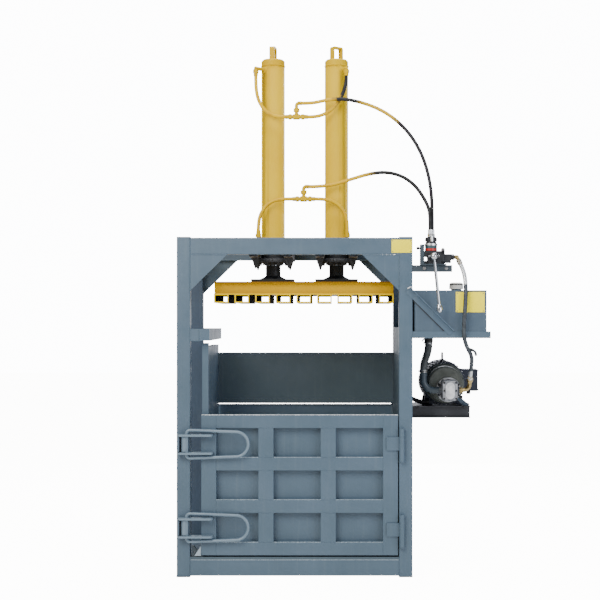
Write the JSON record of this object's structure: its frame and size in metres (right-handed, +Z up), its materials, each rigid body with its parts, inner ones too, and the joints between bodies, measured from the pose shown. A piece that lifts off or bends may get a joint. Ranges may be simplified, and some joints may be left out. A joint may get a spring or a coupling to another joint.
{
  "type": "recycling baler",
  "caption": "Upright hydraulic baler: a box frame with hinged doors, a twin-cylinder press head, and an oil tank, motor, pump and hand valve on its side.",
  "frame": {"origin": "middle of the footprint, on the floor, cords left out", "axes": "+Z up along the press stroke, +Y from the feed opening to the back, +X to the power unit"},
  "size_m": [1.864, 1.024, 3.231],
  "materials": {
    "frame_enamel": "satin",
    "yellow_enamel": "gloss",
    "black_enamel": "satin",
    "motor_enamel": "satin",
    "plated_rod": "polished",
    "cast_iron": "cast",
    "pump_aluminium": "cast",
    "brass": "machined",
    "hose_rubber": "matte",
    "fan_plastic": "matte"
  },
  "bodies": {
    "root": {"left_front_post": "frame_enamel", "right_front_post": "frame_enamel", "left_rear_post": "frame_enamel", "right_rear_post": "frame_enamel", "front_top_channel": "frame_enamel", "rear_top_channel": "frame_enamel", "front_sill": "frame_enamel", "rear_sill": "frame_enamel", "side_rails": "frame_enamel", "corner_gussets": "frame_enamel", "cylinder_carriers": "black_enamel", "left_wall": "frame_enamel", "right_wall": "frame_enamel", "guide_rail": "frame_enamel", "chamber_floor": "frame_enamel", "rear_panel": "frame_enamel", "door_ramp": "frame_enamel", "front_hinge_pins": "frame_enamel", "rear_hinge_pins": "frame_enamel", "latch_keepers": "frame_enamel", "left_cylinder": "yellow_enamel", "right_cylinder": "yellow_enamel", "left_cylinder_cap": "yellow_enamel", "right_cylinder_cap": "yellow_enamel", "cylinder_glands": "black_enamel", "cylinder_ports": "yellow_enamel", "power_shelf": "frame_enamel", "shelf_brace": "frame_enamel", "oil_tank": "frame_enamel", "valve_bracket": "black_enamel", "valve_body": "cast_iron", "motor_base": "black_enamel", "motor_body": "motor_enamel", "motor_cowl": "motor_enamel", "motor_bell": "cast_iron", "gear_pump": "pump_aluminium", "pipe_fittings": "brass", "hose_tees": "yellow_enamel", "cylinder_hoses": "hose_rubber", "pump_hoses": "hose_rubber"},
    "press_head": {"platen_frame": "yellow_enamel", "platen_plate": "yellow_enamel", "platen_ribs": "yellow_enamel", "rod_feet": "black_enamel", "piston_rods": "plated_rod", "pistons": "cast_iron"},
    "front_door": {"front_door_frame": "frame_enamel", "front_door_skin": "frame_enamel", "front_latch_arms": "frame_enamel"},
    "front_upper_latch": {"front_upper_handle": "frame_enamel"},
    "front_lower_latch": {"front_lower_handle": "frame_enamel"},
    "rear_door": {"rear_door_frame": "frame_enamel", "rear_door_skin": "frame_enamel", "rear_latch_arms": "frame_enamel"},
    "rear_upper_latch": {"rear_upper_handle": "frame_enamel"},
    "rear_lower_latch": {"rear_lower_handle": "frame_enamel"},
    "control_lever": {"valve_lever": "plated_rod", "lever_knob": "plated_rod"},
    "breather_cap": {"filler_cap": "plated_rod"},
    "rotor": {"motor_fan": "fan_plastic"}
  },
  "joints": [
    {"name": "press_stroke", "type": "slide", "parent": "root", "child": "press_head", "axis": [0, 0, -1], "range_m": [0, 0.95]},
    {"name": "front_door_swing", "type": "hinge", "parent": "root", "child": "front_door", "pos_m": [0.404, -0.426, 0.5], "axis": [0, 0, 1], "range_deg": [0, 110]},
    {"name": "rear_door_swing", "type": "hinge", "parent": "root", "child": "rear_door", "pos_m": [0.404, 0.468, 0.5], "axis": [0, 0, -1], "range_deg": [0, 110]},
    {"name": "front_upper_latch_turn", "type": "hinge", "parent": "front_door", "child": "front_upper_latch", "pos_m": [-0.87, -0.44, 0.792], "axis": [0, 0, -1], "range_deg": [0, 150]},
    {"name": "front_lower_latch_turn", "type": "hinge", "parent": "front_door", "child": "front_lower_latch", "pos_m": [-0.87, -0.44, 0.299], "axis": [0, 0, -1], "range_deg": [0, 150]},
    {"name": "rear_upper_latch_turn", "type": "hinge", "parent": "rear_door", "child": "rear_upper_latch", "pos_m": [-0.87, 0.482, 0.792], "axis": [0, 0, 1], "range_deg": [0, 150]},
    {"name": "rear_lower_latch_turn", "type": "hinge", "parent": "rear_door", "child": "rear_lower_latch", "pos_m": [-0.87, 0.482, 0.299], "axis": [0, 0, 1], "range_deg": [0, 150]},
    {"name": "lever_throw", "type": "hinge", "parent": "root", "child": "control_lever", "pos_m": [0.589, -0.49, 1.9], "axis": [1, 0, 0], "range_deg": [-12, 12]},
    {"name": "cap_lift", "type": "slide", "parent": "root", "child": "breather_cap", "axis": [0, 0, 1], "range_m": [0, 0.06]},
    {"name": "motor_spin", "type": "hinge", "parent": "root", "child": "rotor", "pos_m": [0.69, 0.351, 1.131], "axis": [0, 1, 0], "continuous": true}
  ]
}
